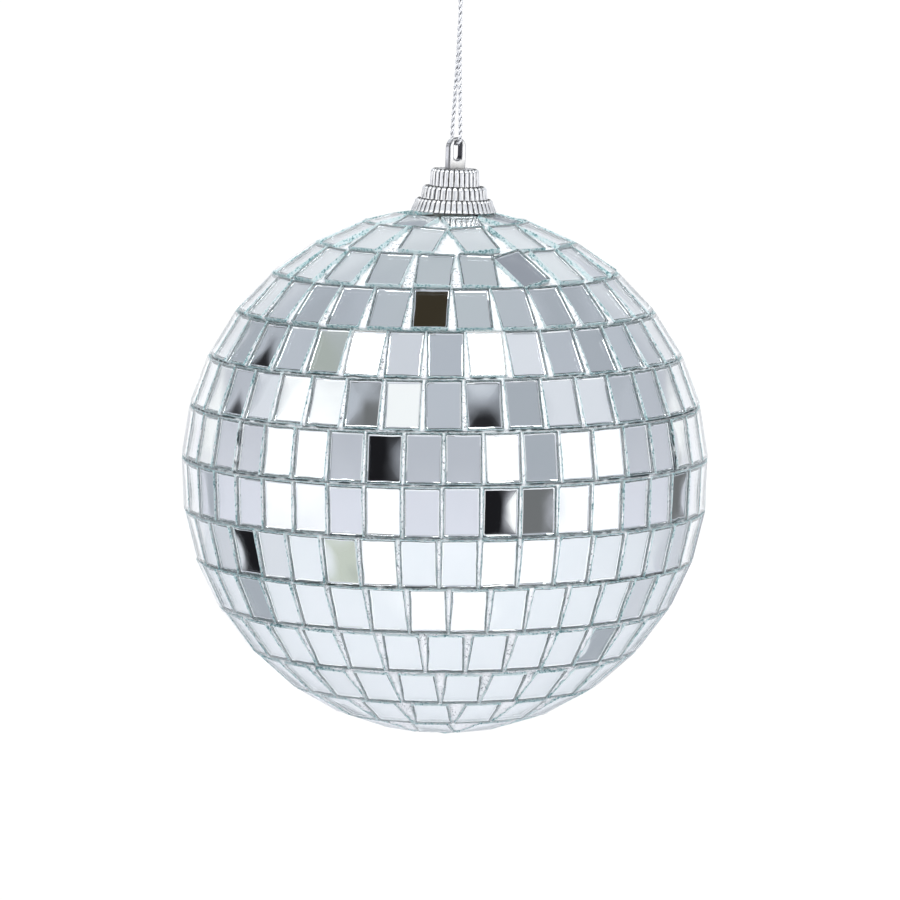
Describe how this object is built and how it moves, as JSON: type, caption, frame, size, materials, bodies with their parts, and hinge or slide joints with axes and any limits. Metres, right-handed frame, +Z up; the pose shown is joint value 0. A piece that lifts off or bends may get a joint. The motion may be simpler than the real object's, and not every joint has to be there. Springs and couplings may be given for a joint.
{
  "type": "hanging mirror ball",
  "caption": "Foam ball covered with rings of flat mirror tiles, hung by a thin knotted cord through a slotted eye post on its fluted cap.",
  "frame": {"origin": "where the doubled cord meets the underside of its knot, the point the ball hangs from", "axes": "+Z up along the cap's axis, through the ball's centre and the knot; the slot in the eye post runs along Y, and its wide faces look along Y"},
  "size_m": [0.1005, 0.1004, 0.1474],
  "materials": {
    "mirror_tile": "gloss",
    "coat": "satin",
    "foam": "matte",
    "glue": "gloss",
    "cap_plating": "gloss",
    "cord": "satin"
  },
  "bodies": {
    "hanger": {"cord_knot": "cord"},
    "cord": {"hanging_cord": "cord"},
    "ball": {"foam_core": "foam", "adhesive_coat": "coat", "mirror_row_01": "mirror_tile", "mirror_row_02": "mirror_tile", "mirror_row_03": "mirror_tile", "mirror_row_04": "mirror_tile", "mirror_row_05": "mirror_tile", "mirror_row_06": "mirror_tile", "mirror_row_07": "mirror_tile", "mirror_row_08": "mirror_tile", "mirror_row_09": "mirror_tile", "mirror_row_10": "mirror_tile", "mirror_row_11": "mirror_tile", "mirror_row_12": "mirror_tile", "mirror_row_13": "mirror_tile", "mirror_row_14": "mirror_tile", "mirror_row_15": "mirror_tile", "mirror_bottom_tile": "mirror_tile", "cap_glue": "glue", "cap_bell": "cap_plating", "eye_post": "cap_plating"}
  },
  "joints": [
    {"name": "cord_twist", "type": "hinge", "parent": "hanger", "child": "cord", "pos_m": [0, 0, 0], "axis": [0, 0, 1], "continuous": true},
    {"name": "eye_swing", "type": "hinge", "parent": "cord", "child": "ball", "pos_m": [0, 0, -0.0293], "axis": [0, 1, 0], "range_deg": [-60, 60]}
  ]
}
